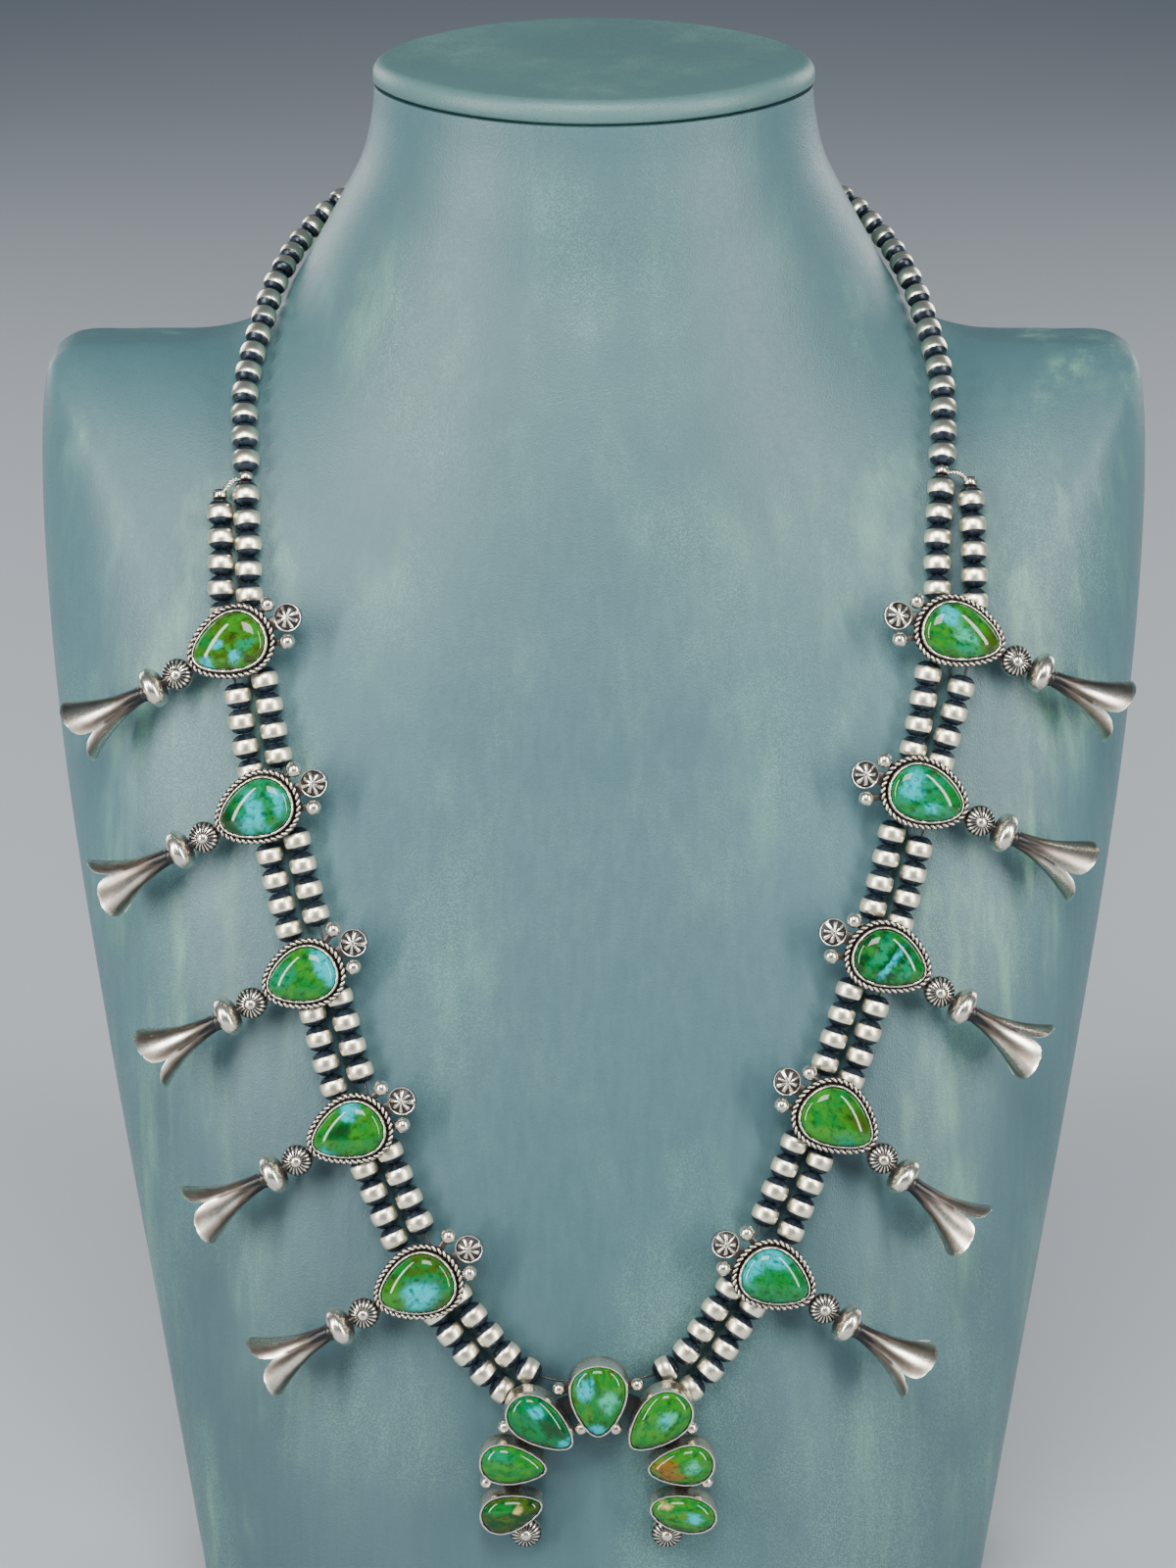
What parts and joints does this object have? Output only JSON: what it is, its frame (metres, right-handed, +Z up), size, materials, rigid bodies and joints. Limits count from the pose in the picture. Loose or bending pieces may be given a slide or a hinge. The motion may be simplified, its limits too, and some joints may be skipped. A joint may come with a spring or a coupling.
{
  "type": "squash blossom necklace on a neck bust",
  "caption": "Silver squash blossom necklace of round beads, green turquoise blossoms with petalled flowers and a crescent naja, laid on a padded leather neck bust with a flat base.",
  "frame": {"origin": "middle of the flat underside of the bust", "axes": "+Z up, the necklace faces -Y, +X to the right as it is seen"},
  "size_m": [0.2498, 0.1567, 0.3579],
  "materials": {
    "bust_leather": "satin grained leatherette",
    "cap_leather": "satin grained leatherette",
    "thread": "matt",
    "turquoise": "polished stone",
    "bead_silver": "oxidised silver, brushed round the middle",
    "silver": "oxidised silver"
  },
  "bodies": {
    "root": {"neck_bust": "bust_leather", "neck_cap": "cap_leather", "main_thread": "thread", "outer_thread": "thread", "neck_beads_left": "bead_silver", "neck_beads_right": "bead_silver", "inner_beads_left": "bead_silver", "inner_beads_right": "bead_silver", "outer_beads_left": "bead_silver", "outer_beads_right": "bead_silver", "strand_link_left": "silver", "strand_link_right": "silver", "clasp": "silver", "blossom_left_1": "silver", "blossom_left_2": "silver", "blossom_left_3": "silver", "blossom_left_4": "silver", "blossom_left_5": "silver", "blossom_right_1": "silver", "blossom_right_2": "silver", "blossom_right_3": "silver", "blossom_right_4": "silver", "blossom_right_5": "silver", "stone_left_1": "turquoise", "stone_left_2": "turquoise", "stone_left_3": "turquoise", "stone_left_4": "turquoise", "stone_left_5": "turquoise", "stone_right_1": "turquoise", "stone_right_2": "turquoise", "stone_right_3": "turquoise", "stone_right_4": "turquoise", "stone_right_5": "turquoise", "naja": "silver", "naja_stone_centre": "turquoise", "naja_stone_left_top": "turquoise", "naja_stone_left_middle": "turquoise", "naja_stone_left_bottom": "turquoise", "naja_stone_right_top": "turquoise", "naja_stone_right_middle": "turquoise", "naja_stone_right_bottom": "turquoise"}
  },
  "joints": []
}
